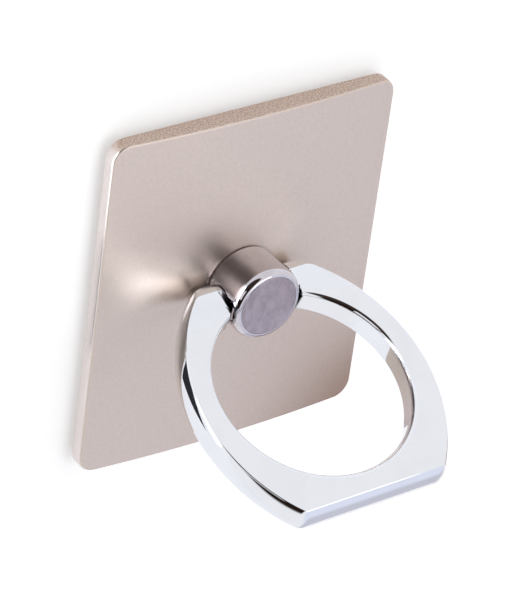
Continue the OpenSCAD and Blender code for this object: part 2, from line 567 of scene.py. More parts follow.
@dataclass(frozen=True)
class SatinPaint(Finish):
    """Champagne metallic satin on the face and long sides, bare grain on the sawn ends; the long
    sides' lighter colour is painted light.
    """

    face: Colour = (0.70, 0.59, 0.52)
    # Lighter copy of the face colour for the long sides: painted light.
    side: Colour = (0.79, 0.72, 0.70)
    end_light: Colour = (0.70, 0.57, 0.49)
    end_dark: Colour = (0.41, 0.30, 0.25)
    roughness: float = 0.37

    def paint(self, coat: Coat) -> None:
        """Part the face, the long sides and the ends by the direction that they face.

        Args:
            coat: The material in the making.
        """
        graph = coat.graph
        grain = coat.placed(coat.effects.grain, Speckle=5.0, Cloud=0.12)
        fine = coat.placed(coat.effects.grain, Speckle=3.2, Cloud=1.1)
        normal = graph.add("ShaderNodeSeparateXYZ")
        graph.feed(normal, Vector=graph.add("ShaderNodeTexCoord").outputs["Normal"])
        end = graph.ramp(graph.math("ABSOLUTE", normal.outputs["Y"]), 0.6, 0.9)
        mottle = graph.ramp(fine.outputs["Speckle"], 0.35, 0.65)
        # Long sides by their normal, for the lighter colour that paints light on them.
        side = graph.ramp(graph.math("ABSOLUTE", normal.outputs["X"]), 0.5, 0.95)
        front = graph.blend(mottle, self.face, tinted(self.face, 0.95))
        face = graph.blend(side, front, self.side)
        speck = graph.ramp(grain.outputs["Speckle"], 0.36, 0.64)
        sawn = graph.blend(speck, self.end_dark, self.end_light)
        rough = graph.ramp(grain.outputs["Cloud"], 0.3, 0.75, self.roughness - 0.015,
                           self.roughness + 0.02)
        graph.feed(coat.shader, Base_Color=graph.blend(end, face, sawn), Metallic=0.95,
                   Roughness=graph.math("ADD", rough, graph.math("MULTIPLY", end, 0.15)))
        relief = graph.math("MULTIPLY", grain.outputs["Speckle"],
                            graph.ramp(end, 0.0, 1.0, 0.1, 1.0))
        coat.bump(relief, 0.02 * MM, 0.6)


@dataclass(frozen=True)
class FoamTape(Finish):
    """Acrylic foam tape: dense grey foam between two thin glue films."""

    foam: Colour = (0.10, 0.10, 0.105)
    film: Colour = (0.20, 0.20, 0.205)
    thickness: float = 0.8 * MM

    def paint(self, coat: Coat) -> None:
        """Part the foam and its films by height, and pit the foam with open cells.

        Args:
            coat: The material in the making.
        """
        graph = coat.graph
        grain = coat.placed(coat.effects.grain, Speckle=3.5, Cloud=0.2)
        cells = graph.add("ShaderNodeTexVoronoi", feature="F1")
        graph.feed(cells, Vector=coat.where, Scale=4.0, Randomness=1.0)
        parts = graph.add("ShaderNodeSeparateXYZ")
        graph.feed(parts, Vector=coat.where)
        half = self.thickness * PER_MM / 2
        off = graph.math("ABSOLUTE", graph.math("SUBTRACT", parts.outputs["Z"], half))
        film = graph.ramp(off, half * 0.8, half * 0.9)
        foam = graph.blend(graph.ramp(grain.outputs["Speckle"], 0.35, 0.65), self.foam,
                           tinted(self.foam, 1.5))
        graph.feed(coat.shader, Base_Color=graph.blend(film, foam, self.film),
                   Roughness=graph.ramp(film, 0.0, 1.0, 0.9, 0.45))
        pits = graph.ramp(cells.outputs["Distance"], 0.1, 0.5)
        height = graph.math("MULTIPLY", pits, graph.ramp(film, 0.0, 1.0, 1.0, 0.15))
        coat.bump(height, 0.05 * MM, 0.8)


@dataclass(frozen=True)
class PolishedMetal(Finish):
    """Polished plating with soft waves, faint smudges and hairlines."""

    colour: Colour
    tint: float
    roughness: float
    smudge_scale: float
    scratch_scale: float
    rough_start: float
    smudge_rough: float
    scratch_rough: float
    waves_per_mm: float
    wave_depth: float
    wave_strength: float

    def paint(self, coat: Coat) -> None:
        """Tint and dull the metal by its smudges and scratches, and wave its surface.

        Args:
            coat: The material in the making.
        """
        graph = coat.graph
        marks = coat.placed(coat.effects.wear, Smudge=self.smudge_scale,
                            Scratch=self.scratch_scale)
        smudge = marks.outputs["Smudge"]
        tone = graph.ramp(smudge, 0.35, 0.7)
        rough = graph.ramp(smudge, self.rough_start, 0.8, self.roughness,
                           self.roughness + self.smudge_rough)
        worn = graph.math("MULTIPLY", marks.outputs["Scratch"], self.scratch_rough)
        graph.feed(coat.shader, Metallic=1.0, Roughness=graph.math("ADD", rough, worn),
                   Base_Color=graph.blend(tone, self.colour, tinted(self.colour, self.tint)))
        waves = graph.noise(coat.where, self.waves_per_mm, Detail=1.0)
        coat.bump(waves, self.wave_depth, self.wave_strength)


@dataclass(frozen=True)
class BrushedDisc(Finish):
    """Satin end face, brushed one way."""

    colour: Colour = (0.46, 0.39, 0.43)
    roughness: float = 0.32
    brushed_at_deg: float = -8.0

    def paint(self, coat: Coat) -> None:
        """Tone the disc by wide streaks, and roughen it by fine ones.

        Args:
            coat: The material in the making.
        """
        graph, streaks = coat.graph, coat.effects.streaks
        turn = graph.add("ShaderNodeMapping", vector_type="POINT")
        graph.feed(turn, Vector=coat.where, Rotation=(0, 0, math.radians(self.brushed_at_deg)))
        turned = turn.outputs["Vector"]
        wide = coat.placed(streaks, Vector=turned, Lines=1.5, Length=0.8).outputs["Streak"]
        fine = coat.placed(streaks, Vector=turned, Lines=22.0, Length=0.5).outputs["Streak"]
        tone = graph.ramp(wide, 0.3, 0.7)
        rough = graph.ramp(fine, 0.3, 0.7, self.roughness - 0.05, self.roughness + 0.07)
        graph.feed(coat.shader, Metallic=1.0, Roughness=rough,
                   Base_Color=graph.blend(tone, tinted(self.colour, 0.8), self.colour))
        coat.bump(fine, 0.004 * MM, 0.5)


@dataclass(frozen=True)
class TurnedSteel(Finish):
    """Bright or zinc-plated steel with fine turning marks."""

    colour: Colour
    roughness: float

    def paint(self, coat: Coat) -> None:
        """Tone the steel by its smudges, and roughen it by its turning marks.

        Args:
            coat: The material in the making.
        """
        graph = coat.graph
        lines = coat.placed(coat.effects.streaks, Lines=12.0, Length=12.0).outputs["Streak"]
        marks = coat.placed(coat.effects.wear, Smudge=0.6, Scratch=2.5)
        tone = graph.ramp(marks.outputs["Smudge"], 0.3, 0.7)
        rough = graph.ramp(lines, 0.3, 0.7, self.roughness - 0.05, self.roughness + 0.08)
        graph.feed(coat.shader, Metallic=1.0, Roughness=rough,
                   Base_Color=graph.blend(tone, self.colour, tinted(self.colour, 0.8)))
        coat.bump(lines, 0.004 * MM, 0.4)


@dataclass(frozen=True)
class MouldedPlastic(Finish):
    """Natural white bearing plastic, faintly mottled."""

    colour: Colour = (0.78, 0.77, 0.73)
    warmth: Colour = (0.95, 0.93, 0.86)

    def paint(self, coat: Coat) -> None:
        """Mottle the plastic's colour, roughness and relief.

        Args:
            coat: The material in the making.
        """
        graph = coat.graph
        grain = coat.placed(coat.effects.grain, Speckle=7.0, Cloud=0.6)
        speckle = grain.outputs["Speckle"]
        warmer = tuple(part * warm for part, warm in zip(self.colour, self.warmth))
        tone = graph.ramp(grain.outputs["Cloud"], 0.35, 0.65)
        graph.feed(coat.shader, Base_Color=graph.blend(tone, self.colour, warmer),
                   Roughness=graph.ramp(speckle, 0.3, 0.7, 0.38, 0.55),
                   Subsurface_Weight=0.1, Subsurface_Scale=0.3 * MM)
        coat.bump(speckle, 0.006 * MM, 0.5)


@dataclass
class Finishes:
    """Every finish of the holder, built once."""

    effects: SharedEffects = field(default_factory=SharedEffects)
    made: dict[Slot, Material] = field(default_factory=dict)

    def __post_init__(self) -> None:
        """Build the materials by slot."""
        recipes = {
            Slot.PAINT: SatinPaint("champagne_satin_paint"),
            Slot.FOAM: FoamTape("foam_tape"),
            Slot.PLASTIC: MouldedPlastic("bearing_plastic"),
            Slot.STEEL: TurnedSteel("zinc_plated_steel", (0.56, 0.56, 0.58), 0.36),
            Slot.NICKEL: PolishedMetal(
                "polished_dark_nickel", (0.58, 0.55, 0.595), tint=1.12, roughness=0.06,
                smudge_scale=0.5, scratch_scale=2.0, rough_start=0.3, smudge_rough=0.06,
                scratch_rough=0.08, waves_per_mm=1.2, wave_depth=0.002 * MM, wave_strength=0.5),
            Slot.DISC: BrushedDisc("brushed_end_disc"),
            Slot.BRIGHT: TurnedSteel("bright_turned_steel", (0.72, 0.72, 0.75), 0.18),
            Slot.CHROME: PolishedMetal(
                "mirror_chrome", (0.80, 0.815, 0.86), tint=0.97, roughness=0.035,
                smudge_scale=0.22, scratch_scale=1.4, rough_start=0.35, smudge_rough=0.03,
                scratch_rough=0.03, waves_per_mm=0.35, wave_depth=0.004 * MM,
                wave_strength=0.35),
        }
        self.made = {slot: recipe.build(self.effects) for slot, recipe in recipes.items()}

    def finish_node(self, node: str, slot: Slot) -> None:
        """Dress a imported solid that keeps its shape.

        Args:
            node: Name of the solid.
            slot: Its material slot.
        """
        dress(frame["nodes"][node], self.made[slot])
        LOG.info("dressed %s with %s", node, self.made[slot].name)

    def finish_piece(self, piece: Piece, slot: Slot, place: Place, *nodes: str) -> None:
        """Dress a new piece, put it on its body and hide what it stands for.

        Args:
            piece: The new piece.
            slot: Its material slot.
            place: The body that it rides on.
            *nodes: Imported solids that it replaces.
        """
        dress(piece, self.made[slot])
        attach(piece, place.value)
        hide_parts(*nodes)
        LOG.info("%s: %d faces, rides on %s", piece.name, len(piece.data.polygons), place.value)


def joint_named(name: str) -> dict:
    """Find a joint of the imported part.

    Args:
        name: The joint's name.

    Returns:
        The joint's entry.
    """
    return next(joint for joint in frame["joints"] if joint["name"] == name)


def turned_about_z(angle: float) -> Matrix:
    """Rotation about the swivel axis, in radians."""
    return Matrix.Rotation(angle, 4, "Z")


@dataclass
class BasePlate:
    """The stuck-on half: crowned plate, foam pad and the swivel's fixed pieces."""

    finishes: Finishes
    corner_radius: float = 2.0 * MM
    crown: float = 0.76 * MM
    front_edge: float = 0.28 * MM
    back_edge: float = 0.12 * MM
    corner_steps: int = 20
    front_steps: int = 6
    back_steps: int = 3
    rim_angle_deg: float = 60.0
    upright_edge: float = 0.5 * MM
    strips: int = 36
    recess_radius: float = 5.2 * MM
    web_back: float = 2.26 * MM
    web_hole_radius: float = 2.5 * MM
    sink_floor: float = 2.86 * MM
    sink_radius: float = 3.72 * MM
    pad_corner_radius: float = 1.0 * MM
    pad_corner_steps: int = 10
    pad_waist: float = 0.06 * MM
    pad_cuts: tuple[float, ...] = (0.08, 0.2, 0.35, 0.5, 0.65, 0.8, 0.92)
    smooth_deg: float = 40.0

    def build(self) -> None:
        """Model and dress every piece of this body."""
        plate = self._plate()
        self.finishes.finish_piece(plate, Slot.PAINT, Place.BASE, "plate")
        pad = self._pad()
        self.finishes.finish_piece(pad, Slot.FOAM, Place.BASE, "adhesive_pad")
        self.finishes.finish_node("swivel_bush", Slot.PLASTIC)
        self.finishes.finish_node("thrust_washer", Slot.STEEL)
        self.finishes.finish_node("back_cover", Slot.STEEL)

    def _crown_height(self, x: float, half_width: float) -> float:
        """Height of the crowned face over its edges, at a place across the width."""
        radius = (half_width ** 2 + self.crown ** 2) / (2 * self.crown)
        return math.sqrt(radius ** 2 - x ** 2) - (radius - self.crown)

    def _plate(self) -> Piece:
        """Crowned plate with rounded corners, soft edges and its swivel recess.

        Returns:
            The plate.
        """
        low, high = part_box("plate")
        size = high - low
        edge_top = size.z - self.crown
        centre = (0, 0, low.z + edge_top / 2)
        plate = block((size.x, size.y, edge_top), centre, "crowned_plate")
        self._round_corners(plate, self.corner_radius, self.corner_steps)
        half = size.x / 2
        start_editing(plate)
        for strip in range(1, self.strips):
            cut_all((-half + size.x * strip / self.strips, 0, 0), (1, 0, 0))
        stop_editing()
        top = low.z + edge_top
        for vertex in plate.data.vertices:
            if vertex.co.z > top - NEAR:
                vertex.co.z += self._crown_height(vertex.co.x, half)
        self._soften_rim(plate, low.z)
        under, over = low.z - MM, high.z + MM
        carve(plate, rod(self.recess_radius, under, self.web_back, "recess"))
        carve(plate, rod(self.web_hole_radius, under, over, "web_hole"))
        carve(plate, rod(self.sink_radius, self.sink_floor, over, "sink"))
        shade(plate, self.smooth_deg)
        return plate

    @staticmethod
    def _round_corners(piece: Piece, radius: float, steps: int) -> None:
        """Round the four upright edges of a block.

        Args:
            piece: The block.
            radius: Radius of the corners.
            steps: Steps round each corner.
        """
        start_editing(piece)
        pick_edges(piece, lambda a, b: abs(a.x - b.x) + abs(a.y - b.y) < VERY_NEAR)
        round_edges(radius, steps)
        stop_editing()

    def _on_rim(self, edge: bmesh.types.BMEdge, bottom: float, is_back: bool) -> bool:
        """Tell whether an edge belongs to the front rim or the back rim.

        Args:
            edge: The edge.
            bottom: Height of the plate's back.
            is_back: Whether the back rim is meant.

        Returns:
            Whether it is a sharp edge of that rim.
        """
        first, second = (vertex.co.z for vertex in edge.verts)
        low = max(abs(first - bottom), abs(second - bottom)) < NEAR
        sharp = (len(edge.link_faces) == 2
                 and edge.calc_face_angle() > math.radians(self.rim_angle_deg))
        return sharp and abs(first - second) <= self.upright_edge and low == is_back

    def _soften_rim(self, plate: Piece, bottom: float) -> None:
        """Round the front rim and the back rim of the plate.

        Args:
            plate: The plate.
            bottom: Height of its back.
        """
        start_editing(plate)
        for is_back, offset, steps in ((False, self.front_edge, self.front_steps),
                                       (True, self.back_edge, self.back_steps)):
            pick(plate, "EDGE", lambda edge, is_back=is_back: self._on_rim(edge, bottom, is_back))
            round_edges(offset, steps)
        stop_editing()

    def _pad(self) -> Piece:
        """Foam pad with a cut edge that draws in a little at its middle.

        Returns:
            The pad.
        """
        low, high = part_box("adhesive_pad")
        size = high - low
        pad = block(size, (low + high) / 2, "foam_pad")
        self._round_corners(pad, self.pad_corner_radius, self.pad_corner_steps)
        start_editing(pad)
        for share in self.pad_cuts:
            cut_all((0, 0, low.z + size.z * share), (0, 0, 1))
        stop_editing()
        for vertex in pad.data.vertices:
            share = (vertex.co.z - low.z) / size.z
            waist = 1 - self.pad_waist * math.sin(math.pi * share) / (size.x / 2)
            vertex.co.x *= waist
            vertex.co.y *= waist
        shade(pad, self.smooth_deg)
        return pad


@dataclass
class SwivelPost:
    """The turning post with its end disc, screw, spring and hinge seats."""

    finishes: Finishes
    edge_radius: float = 0.74 * MM
    edge_stretch: float = 1.35
    foot_chamfer: float = 0.15 * MM
    flats: float = 7.9 * MM
    neck_radius: float = 2.0 * MM
    pocket_radius: float = 3.42 * MM
    pocket_depth: float = 0.44 * MM
    screw_hole_radius: float = 1.27 * MM
    screw_hole_depth: float = 4.9 * MM
    sleeve_bore_radius: float = 1.2 * MM
    sleeve_depth: float = 2.15 * MM
    flat_edge: float = 0.06 * MM
    disc_edge: float = 0.1 * MM
    sides: int = 256
    bore_sides: int = 96
    edge_steps: int = 16
    foot_steps: int = 3
    flat_steps: int = 2
    disc_steps: int = 4
    flat_near: float = 0.005 * MM
    facing: float = 0.999
    smooth_deg: float = 32.0

    def build(self) -> None:
        """Model and dress every piece of this body."""
        post = self._post()
        self.finishes.finish_piece(post, Slot.NICKEL, Place.POST, "post")
        disc = self._disc()
        self.finishes.finish_piece(disc, Slot.DISC, Place.POST, "end_cap")
        self.finishes.finish_node("clamp_screw", Slot.STEEL)
        self.finishes.finish_node("disc_spring", Slot.STEEL)
        for side in ("left", "right"):
            self.finishes.finish_node(f"hinge_bush_{side}", Slot.PLASTIC)
            self.finishes.finish_node(f"hinge_washer_{side}", Slot.BRIGHT)

    def _post(self) -> Piece:
        """Post turned from a bar, with its rounded edge, flats, pocket and bores.

        Returns:
            The post.
        """
        low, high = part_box("post")
        radius = (high.y - low.y) / 2
        foot = joint_named("swivel")["pos_m"][2]
        post = rod(radius, foot, high.z, "turned_post", self.sides)
        start_editing(post)
        pick_edges(post, lambda a, b: min(a.z, b.z) > high.z - NEAR)
        round_edges(self.edge_radius, self.edge_steps)
        stop_editing()
        for vertex in post.data.vertices:
            if vertex.co.z > high.z - self.edge_radius - NEAR:
                vertex.co.z = high.z - (high.z - vertex.co.z) * self.edge_stretch
        start_editing(post)
        pick_edges(post, lambda a, b: max(a.z, b.z) < foot + NEAR)
        round_edges(self.foot_chamfer, self.foot_steps)
        pick_faces(post, lambda centre, normal: normal.z > self.facing)
        self._step(radius - self.edge_radius - self.pocket_radius, -self.pocket_depth)
        pick_faces(post, lambda centre, normal: normal.z < -self.facing)
        self._step(radius - self.foot_chamfer - self.neck_radius, low.z - foot)
        self._step(self.neck_radius - self.screw_hole_radius, self.screw_hole_depth)
        self._cut_flats(post)
        stop_editing()
        self._bore(post)
        shade(post, self.smooth_deg)
        return post

    @staticmethod
    def _step(margin: float, rise: float) -> None:
        """Inset the selected face and move it up or down as a step."""
        bpy.ops.mesh.inset(thickness=margin)
        bpy.ops.mesh.extrude_region_move(TRANSFORM_OT_translate={"value": (0, 0, rise)})

    def _cut_flats(self, post: Piece) -> None:
        """Cut the two side flats at the hinge line's angle.

        The cut's default threshold is wide for so small a piece and spoils the flats'
        rims, so the bevel finds only a few of their edges.

        Args:
            post: The post, in edit mode.
        """
        across = self._across()
        reach = self.flats / 2
        for way in (across, -across):
            cut_all(way * reach, way, use_fill=True, clear_outer=True)

        def on_flat(point: Vector) -> bool:
            """Tell whether a point lies on one of the flats."""
            return abs(abs(point.dot(across)) - reach) < self.flat_near

        pick_edges(post, lambda a, b: on_flat(a) and on_flat(b))
        round_edges(self.flat_edge, self.flat_steps)

    @staticmethod
    def _across() -> Vector:
        """Direction of the hinge line."""
        return Vector(joint_named("ring_fold")["axis"]).normalized()

    def _bore(self, post: Piece) -> None:
        """Cut the two cross bores for the friction sleeves.

        Args:
            post: The post.
        """
        line = joint_named("ring_fold")
        across = self._across()
        centre = Vector(line["pos_m"])
        deep = self.flats / 2 - self.sleeve_depth
        for way in (across, -across):
            cutter = rod(self.sleeve_bore_radius, deep, self.flats, "sleeve_bore",
                         self.bore_sides)
            lean = way.to_track_quat("Z", "Y").to_matrix().to_4x4()
            cutter.data.transform(Matrix.Translation(centre) @ lean)
            carve(post, cutter)

    def _disc(self) -> Piece:
        """Satin disc in the end of the post, with a broken edge.

        Returns:
            The disc.
        """
        low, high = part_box("end_cap")
        disc = rod((high.x - low.x) / 2, low.z, high.z, "end_disc", 192)
        start_editing(disc)
        pick_edges(disc, lambda a, b: min(a.z, b.z) > high.z - NEAR)
        round_edges(self.disc_edge, self.disc_steps)
        stop_editing()
        shade(disc, self.smooth_deg)
        return disc


@dataclass
class FingerRing:
    """The D-shaped ring and its pins.

    The ring is spun as a plain band round its finger hole, and the band's outer side is
    then drawn out to the ring's outline: two side arcs, a flat end and the hinge line.
    In the ring's own frame X is the hinge line, Y runs to the flat end and Z is the
    front face's normal.
    """

    finishes: Finishes
    hole_radius: float = 10.87 * MM
    hole_reach: float = 13.0 * MM
    thickness: float = 3.0 * MM
    side_shift: float = 5.05 * MM
    side_reach: float = 13.8 * MM
    side_radius: float = 18.55 * MM
    side_bulge: float = 0.5 * MM
    side_low: float = 0.4 * MM
    end_reach: float = 26.28 * MM
    end_bulge: float = 0.62 * MM
    end_low: float = 0.7 * MM
    front_corner: float = 0.25 * MM
    back_corner: float = 0.4 * MM
    shoulder_round: float = 0.3 * MM
    front_rim: float = 0.12 * MM
    back_rim: float = 0.4 * MM
    mouth_front: float = 0.65 * MM
    mouth_back: float = 0.3 * MM
    arm_face: float = 4.5 * MM
    arm_edge: float = 0.12 * MM
    band_width: float = 2.5 * MM
    spin_steps: int = 560
    sweep_deg: float = 334.0
    arm_steps: int = 5
    arm_near: float = 0.002 * MM
    smooth_deg: float = 30.0
    rim_arc_deg: tuple[int, ...] = (90, 72, 54, 38, 24, 12, 0)
    mouth_arc_deg: tuple[int, ...] = (90, 80, 70, 60, 50, 40, 30, 20, 10, 0)
    outer_levels_mm: tuple[float, ...] = (-0.8, -0.5, -0.2, 0.1, 0.4, 0.7, 0.95, 1.2)
    wall_levels_mm: tuple[float, ...] = (0.6, 0.2, -0.3, -0.8)
    face_shares: tuple[float, ...] = (0.97, 0.65, 0.35, 0.03)

    def build(self) -> None:
        """Model and dress every piece of this body."""
        ring = self._ring()
        self.finishes.finish_piece(ring, Slot.CHROME, Place.RING, "ring")
        for side in ("left", "right"):
            self.finishes.finish_node(f"hinge_pin_{side}", Slot.BRIGHT)

    def _ring(self) -> Piece:
        """Spin, draw out and trim the ring, then open it on its hinge line.

        Returns:
            The ring.
        """
        ring = self._band()
        self._draw_out(ring)
        self._trim_arms(ring)
        shade(ring, self.smooth_deg)
        ring.data.transform(self._placement())
        return settle(ring, "finger_ring")

    def _edge_levels(self, radius: float, arc_deg: Sequence[float]) -> list[float]:
        """Heights of a rounded edge's points over the middle plane.

        Args:
            radius: Radius of the rounded edge.
            arc_deg: Angles round the edge in degrees, from 90 at the face.

        Returns:
            The heights, from the face inwards.
        """
        half = self.thickness / 2
        return [half - radius * (1 - math.sin(math.radians(angle))) for angle in arc_deg]

    def _section(self) -> list[tuple[float, float]]:
        """Points round the plain band's section.

        Returns:
            The points, as radius and height.
        """
        half = self.thickness / 2
        inner = self.hole_radius
        outer = inner + self.band_width
        back_rim = self._edge_levels(self.back_rim, self.rim_arc_deg)
        front_rim = self._edge_levels(self.front_rim, self.rim_arc_deg)
        mouth = self._edge_levels(self.mouth_front, self.mouth_arc_deg)
        back_mouth = self._edge_levels(self.mouth_back, self.rim_arc_deg)
        across = [inner + share * self.band_width for share in self.face_shares]
        up = [(outer, -level) for level in back_rim]
        rise = [(outer, level * MM) for level in self.outer_levels_mm]
        crest = [(outer, level) for level in reversed(front_rim)]
        front = [(radius, half) for radius in across]
        down = [(inner, level) for level in mouth]
        wall = [(inner, level * MM) for level in self.wall_levels_mm]
        deep = [(inner, -level) for level in reversed(back_mouth)]
        back = [(radius, -half) for radius in reversed(across)]
        return up + rise + crest + front + down + wall + deep + back

    def _band(self) -> Piece:
        """Spin the plain section round the finger hole.

        Returns:
            The band, open at both ends.
        """
        section = self._section()
        deselect_all()
        bpy.ops.mesh.primitive_circle_add(vertices=len(section), radius=self.hole_radius)
        band = settle(bpy.context.object, "finger_ring")
        start = -math.radians(self.sweep_deg) / 2
        for vertex, (radius, level) in zip(band.data.vertices, section):
            vertex.co = (radius * math.sin(start),
                         self.hole_reach + radius * math.cos(start), level)
        start_editing(band)
        bpy.ops.mesh.select_all(action="SELECT")
        bpy.ops.mesh.spin(steps=self.spin_steps, angle=math.radians(self.sweep_deg),
                          center=(0, self.hole_reach, 0), axis=(0, 0, 1))
        stop_editing()
        return band

    def _bowed(self, level: Values, bulge: float, low: float) -> Values:
        """How far a bowed side stands out at each height over its front rim.

        Args:
            level: Heights over the middle plane.
            bulge: Most that the side stands out.
            low: Depth of its widest line under the middle plane.

        Returns:
            The distances.
        """
        wide = self.thickness / 2 + low
        bow = (bulge ** 2 + wide ** 2) / (2 * bulge)
        return bulge - bow + np.sqrt(bow ** 2 - (level + low) ** 2)

    def _drawn_in(self, level: Values, front: float, back: float) -> Values:
        """How far an edge rounded at both faces draws in at each height.

        Args:
            level: Heights over the middle plane.
            front: Radius at the front face.
            back: Radius at the back face.

        Returns:
            The distances.
        """
        half = self.thickness / 2
        radius = np.where(level > 0, front, back)
        over = np.clip(np.abs(level) - (half - radius), 0, radius)
        return radius - np.sqrt(radius ** 2 - over ** 2)

    def _inside(self, x: Values, y: Values, level: Values) -> Values:
        """Signed distance to the outline at each height.

        Args:
            x: Places along the hinge line.
            y: Places towards the flat end.
            level: Heights over the middle plane.

        Returns:
            The distances, below zero inside.
        """
        half = self.thickness / 2
        soft = self._drawn_in(level, self.front_rim, self.back_rim)
        left = np.hypot(x - self.side_shift, y - self.side_reach)
        right = np.hypot(x + self.side_shift, y - self.side_reach)
        rim = self.side_radius + self._bowed(level, self.side_bulge, self.side_low) - soft
        side = np.maximum(left, right) - rim
        end = y - (self.end_reach + self._bowed(level, self.end_bulge, self.end_low) - soft)
        depth = np.clip((half - level) / half, 0, 1)
        corner = self.front_corner + (self.back_corner - self.front_corner) * depth
        hinge = -np.sqrt(np.clip(half ** 2 - level ** 2, 0, None)) - y
        return self._rounded(self._rounded(side, end, corner), hinge, self.shoulder_round)

    @staticmethod
    def _rounded(first: Values, second: Values, radius: Values | float) -> Values:
        """Join two signed distances with a rounded corner.

        Args:
            first: Distances to the first side.
            second: Distances to the second side.
            radius: Radius of the corner.

        Returns:
            The joined distances.
        """
        a, b = first + radius, second + radius
        outside = np.hypot(np.maximum(a, 0), np.maximum(b, 0))
        return outside + np.minimum(np.maximum(a, b), 0) - radius

    def _draw_out(self, band: Piece) -> None:
        """Move the band's points out along their rays to the ring's real section.

        Args:
            band: The plain band.
        """
        mesh = band.data
        points = np.empty(len(mesh.vertices) * 3)
        mesh.vertices.foreach_get("co", points)
        points = points.reshape(-1, 3)
        x, y, level = points[:, 0], points[:, 1] - self.hole_reach, points[:, 2]
        radius = np.hypot(x, y)
        share = np.clip((radius - self.hole_radius) / self.band_width, 0, 1)
        ray_x, ray_y = x / radius, y / radius
        near = np.full(len(points), self.hole_radius)
        far = np.full(len(points), 2 * self.hole_radius)
        for _ in range(HALVINGS):
            middle = (near + far) / 2
            out = self._inside(ray_x * middle, ray_y * middle + self.hole_reach, level) > 0
            far = np.where(out, middle, far)
            near = np.where(out, near, middle)
        mouth = self._drawn_in(level, self.mouth_front, self.mouth_back)
        reach = (self.hole_radius + mouth) * (1 - share) + near * share
        points[:, 0] = ray_x * reach
        points[:, 1] = ray_y * reach + self.hole_reach
        mesh.vertices.foreach_set("co", points.ravel())
        mesh.update()

    def _trim_arms(self, ring: Piece) -> None:
        """Cut both arms off square beside the post.

        The cut's default threshold is wide for so small a piece and leaves the cuts'
        rims uneven, so the bevel finds no edges.

        Args:
            ring: The ring.
        """
        start_editing(ring)
        turn_back = self.hole_reach - self.hole_radius / 2
        for side in (-1, 1):
            pick_faces(ring, lambda centre, normal, side=side:
                       centre.y < turn_back and centre.x * side > 0)
            bpy.ops.mesh.bisect(plane_co=(side * self.arm_face, 0, 0), plane_no=(-side, 0, 0),
                                use_fill=True, clear_outer=True)
        bpy.ops.mesh.select_all(action="SELECT")
        bpy.ops.mesh.normals_make_consistent(inside=False)

        def on_cut(point: Vector) -> bool:
            """Tell whether a point lies on one of the two cuts."""
            return abs(abs(point.x) - self.arm_face) < self.arm_near

        pick_edges(ring, lambda a, b: on_cut(a) and on_cut(b) and a.y < self.hole_radius / 2)
        round_edges(self.arm_edge, self.arm_steps)
        stop_editing()

    @staticmethod
    def _placement() -> Matrix:
        """Where the hinge line and the opening angle put the ring.

        Returns:
            The ring's place in the part's frame.
        """
        fold = joint_named("ring_fold")
        axis = Vector(fold["axis"])
        swing = turned_about_z(math.atan2(axis.y, axis.x))
        opened = Matrix.Rotation(-math.radians(fold["range_deg"][1]), 4, "X")
        return swing @ Matrix.Translation(fold["pos_m"]) @ opened @ turned_about_z(math.pi)


@dataclass(frozen=True)
class Softbox:
    """A rectangular studio lamp that looks at the holder."""

    name: str
    place: tuple[float, float, float]
    size: tuple[float, float]
    power: float
    colour: Colour = (1.0, 1.0, 1.0)

    def add(self, target: Vector) -> None:
        """Hang the lamp so that it faces a point.

        Args:
            target: The point that it faces.
        """
        deselect_all()
        bpy.ops.object.light_add(type="AREA", location=self.place)
        lamp = bpy.context.object
        lamp.name = self.name
        lamp.data.shape = "RECTANGLE"
        lamp.data.size, lamp.data.size_y = self.size
        lamp.data.energy = self.power
        lamp.data.color = self.colour
        facing = target - Vector(self.place)
        lamp.rotation_euler = facing.to_track_quat("-Z", "Y").to_euler()


@dataclass(frozen=True)
class Glow:
    """A bright or dark region of the studio's surroundings."""

    towards: tuple[float, float, float]
    core: float
    edge: float
    colour: Colour


@dataclass(frozen=True)
class PaintedReflectionCard:
    """A card that lights nothing and only shows in the holder's reflections: a painted
    reflection, dark for shadowed floor and glowing for a highlight.
    """

    name: str
    corners_mm: tuple[tuple[float, float, float], ...]
    colour: Colour
    solid: float = 1.0

    def add(self) -> None:
        """Set the card up."""
        deselect_all()
        bpy.ops.mesh.primitive_plane_add(size=1, location=(0, 0, 0))
        card = settle(bpy.context.object, self.name)
        for vertex, corner in zip(card.data.vertices, self.corners_mm):
            vertex.co = Vector(corner) * MM
        card.visible_camera = False
        card.visible_shadow = False
        card.visible_diffuse = False
        material, graph = node_material(self.name)
        tone = graph.add("ShaderNodeEmission")
        graph.feed(tone, Color=(*self.colour, 1), Strength=1.0)
        clear = graph.add("ShaderNodeBsdfTransparent")
        place = graph.add("ShaderNodeUVMap", uv_map=card.data.uv_layers[0].name)
        centre = graph.add("ShaderNodeVectorMath", operation="DISTANCE")
        graph.link(place.outputs["UV"], centre.inputs[0])
        centre.inputs[1].default_value = (0.5, 0.5, 0.0)
        share = graph.ramp(centre.outputs["Value"], 0.5 * self.solid, 0.5, 1.0, 0.0)
        if self.solid >= 1:  # a wholly solid card has no soft rim
            share = graph.math("ADD", share, 1.0)
        both = graph.add("ShaderNodeMixShader")
        graph.link(share, both.inputs[0])
        graph.link(clear.outputs[0], both.inputs[1])
        graph.link(tone.outputs[0], both.inputs[2])
        graph.feed(graph.tree.nodes["Material Output"], Surface=both.outputs[0])
        dress(card, material)


